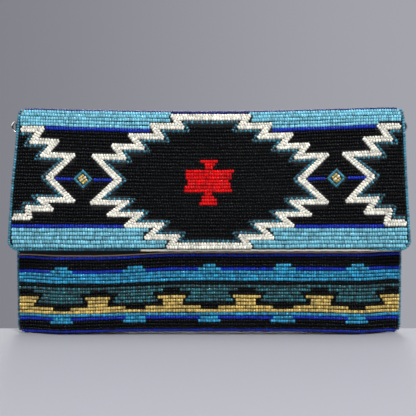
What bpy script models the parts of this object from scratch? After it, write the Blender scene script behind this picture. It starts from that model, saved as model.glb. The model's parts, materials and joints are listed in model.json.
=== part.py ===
"""Beaded fold-over clutch purse: a padded pouch with a beaded flap that folds over its mouth.

Metres, +Z up, front faces -Y.  The purse stands on its bottom; the origin is below the middle of
its box.  Sections are worked out in the Y-Z plane and carried along X, so that every layer follows
the same padded form at its own depth below the bead surface.
"""

import math

import bpy
from mathutils import Matrix, Vector

# Pouch
SEAM_Y = 0.00314           # plane of the side seams, behind the middle of the box
BODY_HALF_WIDTH = 0.1215   # bead panels; the side trim stands outside them
BODY_TOP = 0.1373          # top of the pouch walls
BODY_TAPER = 0.0024        # how much each side draws in between TAPER_START and the top
TAPER_START = 0.055
DEPTH_BASE = 0.0095        # half depth of the padded form at the bottom
DEPTH_BELLY = 0.0135       # control value of the half depth between bottom and top
DEPTH_TOP = 0.0064         # half depth at the mouth
DEPTH_SEAM = 0.0026        # half depth at the side seams
BULGE_FALL = 0.030         # the padded form thins out over this distance from a side seam
BASE_ROUND = 0.0030        # radius between base and wall
BOTTOM_CORNER = 0.0050     # rounded lower corners, seen from the front
TOP_CORNER = 0.0030        # rounded upper corners of the walls
CENTRE_GAP = 0.0003        # from the middle plane to the panel edges under the base
STRIP_TOP = 0.0525         # top of the beaded strip on the front

# Layers of the pouch: depth of the outer face below the bead surface, and thickness
BEADS = (0.0, 0.0016)
SATIN = (0.0010, 0.0005)
STIFFENER = (0.0019, 0.0012)
LINING = (0.0034, 0.0005)
POCKET = (0.0042, 0.0004)
STIFFENER_INSET = 0.009
LINING_INSET = 0.012
STIFFENER_BOTTOM = 0.0070
BINDING_THICKNESS = 0.0004
BINDING_GAP = 0.0002
COLUMNS = 24               # grid columns of each pouch layer: a third of them on each side

# Fold over the mouth: a flat strip between two round folds
STRIP_SURFACE = 0.1430     # top of the whole purse
FOLD_RADIUS = 0.0045       # radius of the bead surface at both folds
BACK_FOLD_Y = SEAM_Y + DEPTH_TOP - FOLD_RADIUS
FRONT_FOLD_Y = SEAM_Y - 0.0051
FOLD_Z = STRIP_SURFACE - FOLD_RADIUS
FLAP_LEAN = math.radians(8.0)
FOLD_HALF_WIDTH = 0.1170
FOLD_LAYER_LINING = (0.0019, 0.0008)
MID_BEAD_RADIUS = FOLD_RADIUS - BEADS[1] / 2
HINGE_OFFSET = MID_BEAD_RADIUS * math.pi / 4   # keeps the bead surface's length when a fold opens

# Flap
FLAP_BOTTOM = 0.0565
FLAP_FRONT_Y = SEAM_Y - 0.0171
FLAP_REACH = 0.030         # length of the flap profile's two handles
FLAP_HALF_TOP = 0.1192
FLAP_HALF_BOTTOM = 0.1250
FLAP_TOP_CORNER = 0.0024
FLAP_BOTTOM_CORNER = 0.0050
FLAP_CURL = 0.0020         # how far the sides of the flap turn back towards the pouch
FLAP_START_GAP = 0.012     # share of the profile left free below the front fold
FLAP_STIFFENER = (0.0019, 0.0008)
FLAP_LINING = (0.0030, 0.0005)
EDGE_TRIM_RADIUS = 0.00095
EDGE_TRIM_OFFSET = 0.0013

# Side trim, tapes, tabs and strap rings
SIDE_TRIM_RADIUS = 0.0011
SIDE_TRIM_OFFSET = 0.0010
SIDE_TRIM_TOP = 0.1265
TAPE_THICKNESS = 0.0012
TAPE_WIDTH = 0.0055
RING_Z = 0.1320
RING_X = 0.1214
RING_WIRE = 0.00075
RING_BAR = 0.0065
RING_REACH = 0.0036
TAB_HEIGHT = 0.0040
TAB_OUTER = 0.0015
TAB_BORE = 0.00105
TAB_PLATE = 0.0010

# Magnetic snap on the front wall and on the flap
SNAP_Z = 0.0800
SNAP_TILT = math.radians(2.5)
SOCKET_RADIUS = 0.0070
POST_HOLE = 0.0025
POST_RADIUS = 0.0020
PRONG_X = 0.0035
WASHER_HOLE = 0.0082       # round window in a stiffener that takes the washer
PRONG_SLOT = 0.0010

DULL_BLACK = (0.020, 0.016, 0.014, 1.0)


def bezier(points, t):
    """Point on a Bezier curve with any number of control values or points."""
    while len(points) > 1:
        points = [a * (1 - t) + b * t for a, b in zip(points, points[1:])]
    return points[0]


def smooth(t):
    t = min(max(t, 0.0), 1.0)
    return t * t * (3 - 2 * t)


# ---------------------------------------------------------------- pouch form

def spread(across, half):
    """X of a grid column: wide columns on the flat middle, narrow ones where the form falls."""
    middle = BODY_HALF_WIDTH - BULGE_FALL
    share = abs(across)
    if share < 1 / 3:
        return 3 * across * middle
    return math.copysign(middle + (half - middle) * (share - 1 / 3) * 1.5, across)


def body_half_width(z):
    """Half width of the pouch panels at height z, with rounded corners."""
    half = BODY_HALF_WIDTH - BODY_TAPER * max(z - TAPER_START, 0.0) / (BODY_TOP - TAPER_START)
    if z < BOTTOM_CORNER:
        half -= BOTTOM_CORNER - math.sqrt(BOTTOM_CORNER**2 - (BOTTOM_CORNER - z) ** 2)
    above = z - (BODY_TOP - TOP_CORNER)
    if above > 0:
        half -= TOP_CORNER - math.sqrt(max(TOP_CORNER**2 - above**2, 0.0))
    return half


def half_depth(x, z):
    """Half depth of the padded form, and how much longer its slope makes a layer's depth."""
    middle = bezier([DEPTH_BASE, DEPTH_BELLY, DEPTH_TOP], z / BODY_TOP)
    inward = max(BODY_HALF_WIDTH - abs(x), 0.0) / BULGE_FALL
    depth = DEPTH_SEAM + (middle - DEPTH_SEAM) * smooth(inward)
    share = min(inward, 1.0)
    slope = (middle - DEPTH_SEAM) * 6 * share * (1 - share) / BULGE_FALL
    return depth, math.hypot(1.0, slope)


def wall_point(side, x, z, depth):
    """Point of the wall (side -1 front, +1 back), depth below the bead surface."""
    half, stretch = half_depth(x, z)
    return Vector((x, SEAM_Y + side * (half - depth * stretch), z))


def wrapped_point(side, across, along, depth, inset, top):
    """Point of a panel that starts at the middle of the base, rounds its edge and climbs the wall."""
    base_z = depth
    x = spread(across, body_half_width(base_z) - inset)
    reach = wall_point(side, x, base_z + BASE_ROUND, depth).y - SEAM_Y
    radius = min(BASE_ROUND, abs(reach) - CENTRE_GAP - 0.0001)
    flat_share, round_share = 0.14, 0.30
    if along <= flat_share:
        y = CENTRE_GAP + (abs(reach) - radius - CENTRE_GAP) * along / flat_share
        return Vector((x, SEAM_Y + side * y, base_z))
    if along <= round_share:
        angle = math.pi / 2 * (along - flat_share) / (round_share - flat_share)
        z = base_z + radius * (1 - math.cos(angle))
        y = abs(reach) - radius * (1 - math.sin(angle))
        x = spread(across, body_half_width(z) - inset)
        return Vector((x, SEAM_Y + side * y, z))
    low = base_z + radius
    z = low + (top - low) * (along - round_share) / (1 - round_share)
    return wall_point(side, spread(across, body_half_width(z) - inset), z, depth)


# ---------------------------------------------------------------- flap form

FLAP_START = Vector((
    FRONT_FOLD_Y - FOLD_RADIUS * math.cos(FLAP_LEAN),
    FOLD_Z + FOLD_RADIUS * math.sin(FLAP_LEAN),
))
FLAP_DOWN = Vector((-math.sin(FLAP_LEAN), -math.cos(FLAP_LEAN)))
FLAP_END = Vector((FLAP_FRONT_Y, FLAP_BOTTOM))
FLAP_PROFILE = [
    FLAP_START,
    FLAP_START + FLAP_DOWN * FLAP_REACH,
    FLAP_END + Vector((0.0, FLAP_REACH)),
    FLAP_END,
]


def flap_section(share):
    """Point of the flap's bead surface in the Y-Z plane, and its outward normal."""
    point = bezier(FLAP_PROFILE, share)
    step = 0.001
    ahead = bezier(FLAP_PROFILE, share + step) - bezier(FLAP_PROFILE, share - step)
    ahead.normalize()
    return point, Vector((ahead.y, -ahead.x))


def flap_half_width(z):
    """Half width of the flap's bead panel at height z, with rounded corners."""
    top, bottom = FLAP_START.y, FLAP_BOTTOM
    half = FLAP_HALF_BOTTOM + (FLAP_HALF_TOP - FLAP_HALF_BOTTOM) * (z - bottom) / (top - bottom)
    below_top, above_bottom = max(top - z, 0.0), max(z - bottom, 0.0)
    for radius, distance in ((FLAP_TOP_CORNER, below_top), (FLAP_BOTTOM_CORNER, above_bottom)):
        if distance < radius:
            half -= radius - math.sqrt(radius**2 - (radius - distance) ** 2)
    return half


def flap_point(across, along, depth, inset):
    """Point of a flap layer, depth below the bead surface and inset from the edges."""
    length = FLAP_START.y - FLAP_BOTTOM
    rows_crowd_to_ends = (1 - math.cos(math.pi * along)) / 2
    share = FLAP_START_GAP + (1 - inset / length - FLAP_START_GAP) * rows_crowd_to_ends
    point, normal = flap_section(share)
    fold_free = smooth((FLAP_START.y - point.y) / FLAP_REACH)
    curl = FLAP_CURL * across**4 * fold_free
    at = point - normal * depth
    return Vector((across * (flap_half_width(point.y) - inset), at.x + curl, at.y))


def fold_point(across, along, depth):
    """Point of a layer of the strip over the mouth: back fold, flat top, front fold."""
    radius = FOLD_RADIUS - depth
    round_share = 0.36
    if along < round_share:
        angle = math.pi / 2 * along / round_share
        y = BACK_FOLD_Y + radius * math.cos(angle)
        z = FOLD_Z + radius * math.sin(angle)
    elif along <= 1 - round_share:
        flat = (along - round_share) / (1 - 2 * round_share)
        y = BACK_FOLD_Y + (FRONT_FOLD_Y - BACK_FOLD_Y) * flat
        z = FOLD_Z + radius
    else:
        turn = math.pi / 2 - FLAP_LEAN
        angle = turn * (along - 1 + round_share) / round_share
        y = FRONT_FOLD_Y - radius * math.sin(angle)
        z = FOLD_Z + radius * math.cos(angle)
    return Vector((across * FOLD_HALF_WIDTH, y, z))


# ---------------------------------------------------------------- building blocks

def reset_scene():
    for obj in list(bpy.data.objects):
        bpy.data.objects.remove(obj, do_unlink=True)


def new_collection(name):
    collection = bpy.data.collections.new(name)
    bpy.context.scene.collection.children.link(collection)
    return collection


def material(name, color, roughness, metallic=0.0):
    made = bpy.data.materials.new(name)
    made.use_nodes = True
    shader = made.node_tree.nodes["Principled BSDF"]
    shader.inputs["Base Color"].default_value = color
    shader.inputs["Roughness"].default_value = roughness
    shader.inputs["Metallic"].default_value = metallic
    made.diffuse_color = color
    return made


def adopt(obj, name, look, smooth_angle=40.0):
    """Name an object, give it its material and move it to the purse's collection."""
    obj.name = name
    obj.data.name = name
    obj.data.materials.clear()
    obj.data.materials.append(MATERIALS[look])
    for collection in list(obj.users_collection):
        collection.objects.unlink(obj)
    PARTS.objects.link(obj)
    if obj.type == "MESH":
        obj.data.shade_smooth()
        obj.data.set_sharp_from_angle(angle=math.radians(smooth_angle))
    return obj


def layer(name, look, place, thickness, columns, rows, outward):
    """Sheet whose grid is laid on place(across, along), thickened away from its outer face."""
    bpy.ops.mesh.primitive_grid_add(x_subdivisions=columns, y_subdivisions=rows, size=2)
    obj = bpy.context.object
    for vertex in obj.data.vertices:
        vertex.co = place(vertex.co.x, (vertex.co.y + 1) / 2)
    obj.data.update()
    middle = obj.data.polygons[len(obj.data.polygons) // 2]
    if middle.normal.dot(Vector(outward)) < 0:
        obj.data.flip_normals()
    thicken = obj.modifiers.new("thickness", "SOLIDIFY")
    thicken.thickness = thickness
    thicken.offset = -1.0
    thicken.use_even_offset = True
    return adopt(obj, name, look)


def wrapped_layer(name, look, side, depth, inset, top, columns, rows):
    outer, thickness = depth

    def place(across, along):
        return wrapped_point(side, across, along, outer, inset, top)

    return layer(name, look, place, thickness, columns, rows, (0, side, 0))


def wall_layer(name, look, side, depth, inset, low, high, columns, rows, half=None):
    outer, thickness = depth

    def place(across, along):
        z = low + (high - low) * along
        x = across * half if half else spread(across, body_half_width(z) - inset)
        return wall_point(side, x, z, outer)

    return layer(name, look, place, thickness, columns, rows, (0, side, 0))


def flap_layer(name, look, depth, inset, columns, rows):
    outer, thickness = depth

    def place(across, along):
        return flap_point(across, along, outer, inset)

    return layer(name, look, place, thickness, columns, rows, (0, -1, 0))


def fold_layer(name, look, depth, columns, rows):
    outer, thickness = depth

    def place(across, along):
        return fold_point(across, along, outer)

    return layer(name, look, place, thickness, columns, rows, (0, 0, 1))


def tube(name, look, points, radius, cyclic=False, resolution=2):
    """Round cord or wire through points."""
    curve = bpy.data.curves.new(name, "CURVE")
    curve.dimensions = "3D"
    curve.bevel_depth = radius
    curve.bevel_resolution = resolution
    curve.use_fill_caps = not cyclic
    spline = curve.splines.new("POLY")
    spline.points.add(len(points) - 1)
    for knot, point in zip(spline.points, points):
        knot.co = (*point, 1.0)
    spline.use_cyclic_u = cyclic
    obj = bpy.data.objects.new(name, curve)
    bpy.context.scene.collection.objects.link(obj)
    return adopt(obj, name, look)


def turned(name, look, profile, steps=32):
    """Round part from a closed (radius, height) profile round its own Z axis."""
    mesh = bpy.data.meshes.new(name)
    points = [(radius, 0.0, height) for radius, height in profile]
    on_axis = profile[0][0] == 0.0
    edges = [(i, i + 1) for i in range(len(points) - 1)]
    if not on_axis:
        edges.append((len(points) - 1, 0))
    mesh.from_pydata(points, edges, [])
    obj = bpy.data.objects.new(name, mesh)
    bpy.context.scene.collection.objects.link(obj)
    screw = obj.modifiers.new("turn", "SCREW")
    screw.steps = steps
    screw.render_steps = steps
    screw.use_merge_vertices = True
    screw.merge_threshold = 0.00001
    return adopt(obj, name, look)


def box(name, size, location):
    bpy.ops.mesh.primitive_cube_add(size=1, location=location)
    obj = bpy.context.object
    obj.name = name
    for vertex in obj.data.vertices:
        vertex.co = Vector(a * b for a, b in zip(vertex.co, size))
    return obj


def cylinder(name, radius, height, location, steps=32):
    bpy.ops.mesh.primitive_cylinder_add(vertices=steps, radius=radius, depth=height, location=location)
    obj = bpy.context.object
    obj.name = name
    return obj


def as_tool(obj):
    """Keep an object only as a cutter or a joined shape."""
    for collection in list(obj.users_collection):
        collection.objects.unlink(obj)
    TOOLS.objects.link(obj)
    obj.hide_render = True
    obj.display_type = "WIRE"
    return obj


def combine(obj, tool, operation):
    change = obj.modifiers.new(operation.lower(), "BOOLEAN")
    change.operation = operation
    change.solver = "EXACT"
    change.object = as_tool(tool)


def pivot(name, location):
    empty = bpy.data.objects.new(name, None)
    empty.empty_display_size = 0.01
    empty.location = location
    PARTS.objects.link(empty)
    return empty


def hang(pieces, empty):
    """Parent pieces to the empty on their joint's axis, where they already are."""
    bpy.context.view_layer.update()
    for piece in pieces:
        piece.parent = empty
        piece.matrix_parent_inverse = empty.matrix_world.inverted()


# ---------------------------------------------------------------- pouch

def build_pouch():
    wrapped_layer("back_bead_panel", "black_beads", 1, BEADS, 0.0, BODY_TOP, COLUMNS, 15)
    wrapped_layer("front_bead_strip", "blue_beads", -1, BEADS, 0.0, STRIP_TOP, COLUMNS, 11)
    satin = wall_layer(
        "front_satin_panel", "satin", -1, SATIN, 0.0, STRIP_TOP + 0.0016, BODY_TOP, COLUMNS, 9
    )
    wall_layer(
        "front_strip_binding", "tan_tape", -1, (0.0, 0.0015), 0.0003,
        STRIP_TOP + 0.0003, STRIP_TOP + 0.0013, COLUMNS, 2,
    )
    wall_layer(
        "back_stiffener", "buckram", 1, STIFFENER, STIFFENER_INSET,
        STIFFENER_BOTTOM, BODY_TOP, COLUMNS, 9,
    )
    front = wall_layer(
        "front_stiffener", "buckram", -1, STIFFENER, STIFFENER_INSET,
        STIFFENER_BOTTOM, BODY_TOP, COLUMNS, 9,
    )
    wrapped_layer("back_lining", "lining", 1, LINING, LINING_INSET, BODY_TOP, COLUMNS, 13)
    wrapped_layer("front_lining", "lining", -1, LINING, LINING_INSET, BODY_TOP, COLUMNS, 13)
    wall_layer("slip_pocket", "lining", 1, POCKET, 0.0, 0.030, 0.100, 10, 6, half=0.062)
    for side, name, depths in (
        (-1, "front_mouth_binding", (SATIN[0], LINING[0] + LINING[1])),
        (1, "back_mouth_binding", (BEADS[0], LINING[0] + LINING[1])),
    ):
        build_mouth_binding(side, name, depths)
    return satin, front


def build_mouth_binding(side, name, depths):
    """Tape over the top edges of one wall's layers."""
    z = BODY_TOP + BINDING_GAP + BINDING_THICKNESS

    def place(across, along):
        x = spread(across, body_half_width(BODY_TOP) - LINING_INSET)
        depth = depths[0] + (depths[1] - depths[0]) * along
        point = wall_point(side, x, BODY_TOP, depth)
        return Vector((x, point.y, z))

    layer(name, "satin", place, BINDING_THICKNESS, COLUMNS, 2, (0, 0, 1))


def build_sides():
    for side, word in ((-1, "left"), (1, "right")):
        count = 26
        points = []
        for i in range(count):
            z = 0.0012 + (SIDE_TRIM_TOP - 0.0012) * (i / (count - 1)) ** 1.6
            x = side * (body_half_width(z) + SIDE_TRIM_OFFSET)
            points.append((x, SEAM_Y, z))
        tube(f"side_bead_trim_{word}", "turquoise_beads", points, SIDE_TRIM_RADIUS)

        build_tape(side, word)
        build_tab(side, word)
        build_ring(side, word)


def build_tape(side, word):
    """Tape in the side seam, which follows the edges of the panels up the side."""
    low, high = 0.008, SIDE_TRIM_TOP - 0.001

    def place(across, along):
        z = low + (high - low) * along
        middle = body_half_width(z) - 0.0004 - TAPE_WIDTH / 2
        return Vector((side * (middle + across * TAPE_WIDTH / 2), SEAM_Y - TAPE_THICKNESS / 2, z))

    layer(f"side_seam_tape_{word}", "tan_tape", place, TAPE_THICKNESS, 2, 15, (0, -1, 0))


def build_tab(side, word):
    """Loop of satin, sewn in the side seam, that holds the strap ring's straight bar."""
    inner = BODY_HALF_WIDTH - BODY_TAPER - 0.006
    outer = RING_X
    plate = box(
        "plate", (outer - inner, TAB_PLATE, TAB_HEIGHT), (side * (inner + outer) / 2, SEAM_Y, RING_Z)
    )
    loop = cylinder("loop", TAB_OUTER, TAB_HEIGHT, (side * RING_X, SEAM_Y, RING_Z), steps=20)
    bore = cylinder("bore", TAB_BORE, 3 * TAB_HEIGHT, (side * RING_X, SEAM_Y, RING_Z), steps=20)
    adopt(plate, f"ring_tab_{word}", "satin")
    combine(plate, loop, "UNION")
    combine(plate, bore, "DIFFERENCE")


def build_ring(side, word):
    """D-ring: a straight bar on the hinge axis and a bow that stands out from the side."""
    half = RING_BAR / 2
    points = [Vector((0, 0, half * (1 - i / 2))) for i in range(5)]
    bow = 14
    for i in range(1, bow):
        angle = -math.pi / 2 + math.pi * i / bow
        points.append(Vector((side * RING_REACH * math.cos(angle) ** 0.8, 0, half * math.sin(angle))))
    empty = pivot(f"ring_pivot_{word}", (side * RING_X, SEAM_Y, RING_Z))
    ring = tube(
        f"strap_ring_{word}", "steel", [p + empty.location for p in points], RING_WIRE, cyclic=True
    )
    hang([ring], empty)


# ---------------------------------------------------------------- magnetic snap

def snap_frame(surface_y):
    """Local frame whose +Z leaves the front wall, at the snap's middle."""
    turn = Matrix.Rotation(math.pi / 2 - SNAP_TILT, 4, "X")
    return Matrix.Translation((0, surface_y, SNAP_Z)) @ turn


def prongs(obj, low, high):
    """Two flat prongs on a snap plate."""
    for side in (-1, 1):
        blade = box("prong", (0.0004, 0.0020, high - low), (side * PRONG_X, 0, (low + high) / 2))
        blade.matrix_world = obj.matrix_world @ Matrix.Translation(blade.location)
        combine(obj, blade, "UNION")


def prong_slots(obj, frame, low, high):
    for side in (-1, 1):
        size = (PRONG_SLOT, 0.0020 + PRONG_SLOT - 0.0004, high - low)
        slot = box("slot", size, (side * PRONG_X, 0, 0))
        slot.matrix_world = frame @ Matrix.Translation((side * PRONG_X, 0, (low + high) / 2))
        combine(obj, slot, "DIFFERENCE")


def window(obj, frame, radius):
    """Round hole through a layer, square to the snap."""
    cutter = cylinder("window", radius, 0.02, (0, 0, 0), steps=40)
    cutter.matrix_world = frame
    combine(obj, cutter, "DIFFERENCE")


def ring_profile(inner, outer, low, high):
    return [(outer, high), (outer, low), (inner, low), (inner, high)]


def build_snap(satin, front_stiffener, flap_stiffener, flap_lining):
    """Socket on the front wall and stud under the flap; heights are above the satin's face."""
    surface = wall_point(-1, 0.0, SNAP_Z, SATIN[0]).y
    frame = snap_frame(surface)

    base = turned("snap_socket_base", "steel", [
        (0.0, 0.00045), (0.0064, 0.00045), (0.0064, 0.00010), (0.0, 0.00010),
    ])
    magnet = turned("snap_magnet", "magnet", ring_profile(0.0029, 0.0059, 0.00055, 0.00140))
    cap = turned("snap_socket_cap", "steel", [
        (SOCKET_RADIUS, 0.00160), (SOCKET_RADIUS, 0.00012), (0.0067, 0.00012), (0.0067, 0.00150),
        (0.0062, 0.00150), (POST_HOLE, 0.00150), (POST_HOLE, 0.00185), (0.0060, 0.00185),
    ])
    washer = turned("snap_socket_washer", "steel", ring_profile(0.0020, 0.0070, -0.00150, -0.00105))
    for piece in (base, magnet, cap, washer):
        piece.matrix_world = frame
    prongs(base, -0.0017, 0.0002)
    prong_slots(washer, frame, -0.004, 0.0)
    prong_slots(satin, frame, -0.004, 0.002)
    window(front_stiffener, frame, WASHER_HOLE)

    stud = turned("snap_stud", "steel", [
        (0.0, 0.00295), (0.0065, 0.00295), (0.0065, 0.00235), (POST_RADIUS, 0.00235),
        (POST_RADIUS, 0.00085), (0.0, 0.00085),
    ])
    stud_washer = turned("snap_stud_washer", "steel", ring_profile(0.0020, 0.0070, 0.00435, 0.00475))
    for piece in (stud, stud_washer):
        piece.matrix_world = frame
    prongs(stud, 0.0028, 0.0050)
    prong_slots(stud_washer, frame, 0.003, 0.006)
    prong_slots(flap_lining, frame, 0.001, 0.0048)
    window(flap_stiffener, frame, WASHER_HOLE)
    return [stud, stud_washer]


# ---------------------------------------------------------------- flap

def build_fold():
    """Beaded strip over the mouth, between the back fold and the front fold."""
    strip = fold_layer("fold_bead_strip", "black_beads", BEADS, 16, 12)
    lining = fold_layer("fold_lining", "lining", FOLD_LAYER_LINING, 12, 10)
    return [strip, lining]


def build_flap():
    beads = flap_layer("flap_bead_panel", "black_beads", BEADS, 0.0, 20, 16)
    stiffener = flap_layer("flap_stiffener", "buckram", FLAP_STIFFENER, 0.0022, 20, 16)
    lining = flap_layer("flap_lining", "lining", FLAP_LINING, 0.0008, 20, 16)
    return beads, stiffener, lining, build_flap_trim()


def build_flap_trim():
    """Line of beads round the sides and the lower edge of the flap."""
    depth = BEADS[1] / 2
    side_points = []
    count = 30
    for i in range(count + 1):
        along = 0.12 + 0.88 * i / count
        inner = flap_point(1.0, along, depth, 0.0)
        ahead = flap_point(1.0, min(along + 0.004, 1.0), depth, 0.0)
        behind = flap_point(1.0, along - 0.004, depth, 0.0)
        down = (ahead - behind).normalized()
        out = Vector((-down.z, 0.0, down.x)).normalized()
        side_points.append(inner + out * EDGE_TRIM_OFFSET)
    left = [Vector((-p.x, p.y, p.z)) for p in reversed(side_points)]
    bottom = []
    spans = 16
    end = side_points[-1]
    for i in range(1, spans):
        across = 1 - 2 * i / spans
        point = flap_point(across * end.x / FLAP_HALF_BOTTOM, 1.0, depth, 0.0)
        bottom.append(Vector((across * end.x, point.y, end.z)))
    return tube(
        "flap_edge_trim", "turquoise_beads", side_points + bottom + left, EDGE_TRIM_RADIUS, resolution=1
    )


def build():
    satin, front_stiffener = build_pouch()
    build_sides()
    fold = build_fold()
    beads, stiffener, lining, trim = build_flap()
    snap = build_snap(satin, front_stiffener, stiffener, lining)
    back_pivot = pivot("back_fold_pivot", (0, BACK_FOLD_Y + HINGE_OFFSET, FOLD_Z + HINGE_OFFSET))
    front_pivot = pivot("front_fold_pivot", (0, FRONT_FOLD_Y - HINGE_OFFSET, FOLD_Z + HINGE_OFFSET))
    hang(fold, back_pivot)
    hang([beads, stiffener, lining, trim] + snap, front_pivot)
    hang([front_pivot], back_pivot)


reset_scene()
PARTS = new_collection("beaded_clutch")
TOOLS = new_collection("cutters")
MATERIALS = {
    "black_beads": material("black_beads", (0.015, 0.018, 0.022, 1.0), 0.25),
    "blue_beads": material("blue_beads", (0.04, 0.16, 0.30, 1.0), 0.22),
    "turquoise_beads": material("turquoise_beads", (0.03, 0.20, 0.32, 1.0), 0.22),
    "satin": material("satin", DULL_BLACK, 0.38),
    "lining": material("lining", (0.03, 0.024, 0.022, 1.0), 0.42),
    "buckram": material("buckram", (0.74, 0.68, 0.55, 1.0), 0.85),
    "tan_tape": material("tan_tape", (0.50, 0.38, 0.22, 1.0), 0.8),
    "steel": material("steel", (0.72, 0.72, 0.70, 1.0), 0.28, 1.0),
    "magnet": material("magnet", (0.12, 0.12, 0.13, 1.0), 0.5, 0.8),
}
build()
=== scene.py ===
"""Looks of the beaded fold-over clutch purse: rows of glass seed beads on cloth, satin inside.

Everything is in metres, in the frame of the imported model.  Bead rows and layers of cloth lie on
smooth surfaces place(x, s): x runs across the purse and s along the section through its middle.
The bead pattern is worked out bead by bead from a few outlines, in beads and rows.
"""

import json
import math

import bmesh
import bpy
import numpy as np
from mathutils import Vector
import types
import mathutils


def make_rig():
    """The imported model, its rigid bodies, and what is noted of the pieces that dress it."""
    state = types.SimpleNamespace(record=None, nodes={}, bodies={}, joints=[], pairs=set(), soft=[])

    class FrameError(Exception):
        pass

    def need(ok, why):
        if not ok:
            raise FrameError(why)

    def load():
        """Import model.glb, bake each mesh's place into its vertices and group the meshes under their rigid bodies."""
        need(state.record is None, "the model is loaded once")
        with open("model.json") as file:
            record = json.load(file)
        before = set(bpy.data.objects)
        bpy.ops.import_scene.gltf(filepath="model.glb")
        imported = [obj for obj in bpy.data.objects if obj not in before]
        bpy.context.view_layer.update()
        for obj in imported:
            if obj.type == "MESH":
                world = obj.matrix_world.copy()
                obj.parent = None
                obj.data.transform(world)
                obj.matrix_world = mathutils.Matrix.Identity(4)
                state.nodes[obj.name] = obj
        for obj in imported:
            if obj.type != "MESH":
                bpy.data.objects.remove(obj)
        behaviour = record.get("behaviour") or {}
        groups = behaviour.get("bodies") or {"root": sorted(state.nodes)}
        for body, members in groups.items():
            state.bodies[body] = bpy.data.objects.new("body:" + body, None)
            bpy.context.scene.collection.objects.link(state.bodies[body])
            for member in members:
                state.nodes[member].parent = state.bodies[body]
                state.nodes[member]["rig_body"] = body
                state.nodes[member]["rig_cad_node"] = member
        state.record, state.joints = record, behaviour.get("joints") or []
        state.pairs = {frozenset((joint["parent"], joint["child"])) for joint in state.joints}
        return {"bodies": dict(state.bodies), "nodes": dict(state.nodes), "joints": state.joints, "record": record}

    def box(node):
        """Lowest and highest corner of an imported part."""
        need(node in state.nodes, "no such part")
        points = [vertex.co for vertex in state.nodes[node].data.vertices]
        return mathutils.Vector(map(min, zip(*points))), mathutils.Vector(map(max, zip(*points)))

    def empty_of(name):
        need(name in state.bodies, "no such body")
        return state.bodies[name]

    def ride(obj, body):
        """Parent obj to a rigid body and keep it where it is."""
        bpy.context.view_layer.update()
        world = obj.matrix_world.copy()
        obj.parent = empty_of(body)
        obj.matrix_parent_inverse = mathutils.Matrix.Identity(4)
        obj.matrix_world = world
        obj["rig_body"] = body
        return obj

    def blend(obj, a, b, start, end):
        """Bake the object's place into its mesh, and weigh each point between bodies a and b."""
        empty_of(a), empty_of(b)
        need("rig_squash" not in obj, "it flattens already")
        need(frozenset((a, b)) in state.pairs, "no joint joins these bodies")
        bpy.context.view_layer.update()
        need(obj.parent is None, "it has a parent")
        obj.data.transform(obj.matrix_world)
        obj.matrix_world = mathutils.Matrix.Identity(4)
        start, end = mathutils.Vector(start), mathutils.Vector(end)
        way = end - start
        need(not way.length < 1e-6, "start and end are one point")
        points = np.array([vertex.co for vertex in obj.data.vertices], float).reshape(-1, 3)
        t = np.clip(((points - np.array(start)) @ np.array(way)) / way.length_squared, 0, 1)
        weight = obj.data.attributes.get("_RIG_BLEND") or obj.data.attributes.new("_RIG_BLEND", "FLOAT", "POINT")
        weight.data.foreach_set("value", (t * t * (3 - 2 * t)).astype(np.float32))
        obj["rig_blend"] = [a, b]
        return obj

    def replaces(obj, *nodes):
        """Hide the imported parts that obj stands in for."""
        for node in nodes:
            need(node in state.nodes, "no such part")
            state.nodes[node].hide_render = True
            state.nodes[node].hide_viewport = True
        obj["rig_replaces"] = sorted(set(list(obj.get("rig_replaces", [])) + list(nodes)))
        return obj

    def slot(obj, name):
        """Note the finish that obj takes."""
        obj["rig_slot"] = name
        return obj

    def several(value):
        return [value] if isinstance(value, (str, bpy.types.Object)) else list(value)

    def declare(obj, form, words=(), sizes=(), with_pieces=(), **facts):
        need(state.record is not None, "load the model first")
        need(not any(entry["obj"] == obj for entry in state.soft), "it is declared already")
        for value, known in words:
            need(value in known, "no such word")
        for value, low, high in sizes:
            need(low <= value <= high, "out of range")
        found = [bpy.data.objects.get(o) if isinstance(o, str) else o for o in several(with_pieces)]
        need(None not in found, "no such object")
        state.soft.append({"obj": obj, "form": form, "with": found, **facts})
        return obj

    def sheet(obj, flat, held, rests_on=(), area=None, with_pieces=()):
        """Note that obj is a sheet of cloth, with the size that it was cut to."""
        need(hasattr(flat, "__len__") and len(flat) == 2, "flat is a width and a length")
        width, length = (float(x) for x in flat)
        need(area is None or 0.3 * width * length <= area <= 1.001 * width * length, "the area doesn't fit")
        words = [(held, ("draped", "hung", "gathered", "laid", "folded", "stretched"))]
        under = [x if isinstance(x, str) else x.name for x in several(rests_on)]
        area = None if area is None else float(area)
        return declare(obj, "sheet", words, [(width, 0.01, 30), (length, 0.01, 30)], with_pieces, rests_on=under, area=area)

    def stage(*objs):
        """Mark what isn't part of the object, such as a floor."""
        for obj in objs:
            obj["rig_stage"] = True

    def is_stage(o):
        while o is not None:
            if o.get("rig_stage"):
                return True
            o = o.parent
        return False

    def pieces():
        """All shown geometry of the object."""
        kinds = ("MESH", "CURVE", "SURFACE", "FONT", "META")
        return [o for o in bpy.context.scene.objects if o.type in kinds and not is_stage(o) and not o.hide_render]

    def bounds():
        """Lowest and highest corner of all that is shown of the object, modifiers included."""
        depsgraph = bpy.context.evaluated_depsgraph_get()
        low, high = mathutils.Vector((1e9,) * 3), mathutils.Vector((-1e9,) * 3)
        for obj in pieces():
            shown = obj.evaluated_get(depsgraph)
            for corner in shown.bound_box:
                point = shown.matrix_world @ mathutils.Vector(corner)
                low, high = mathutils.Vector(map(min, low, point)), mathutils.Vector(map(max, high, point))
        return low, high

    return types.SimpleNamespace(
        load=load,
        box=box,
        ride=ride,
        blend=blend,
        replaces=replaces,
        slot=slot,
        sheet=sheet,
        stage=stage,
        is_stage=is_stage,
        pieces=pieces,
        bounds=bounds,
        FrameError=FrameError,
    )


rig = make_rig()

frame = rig.load()
CAD_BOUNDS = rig.bounds()
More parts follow.
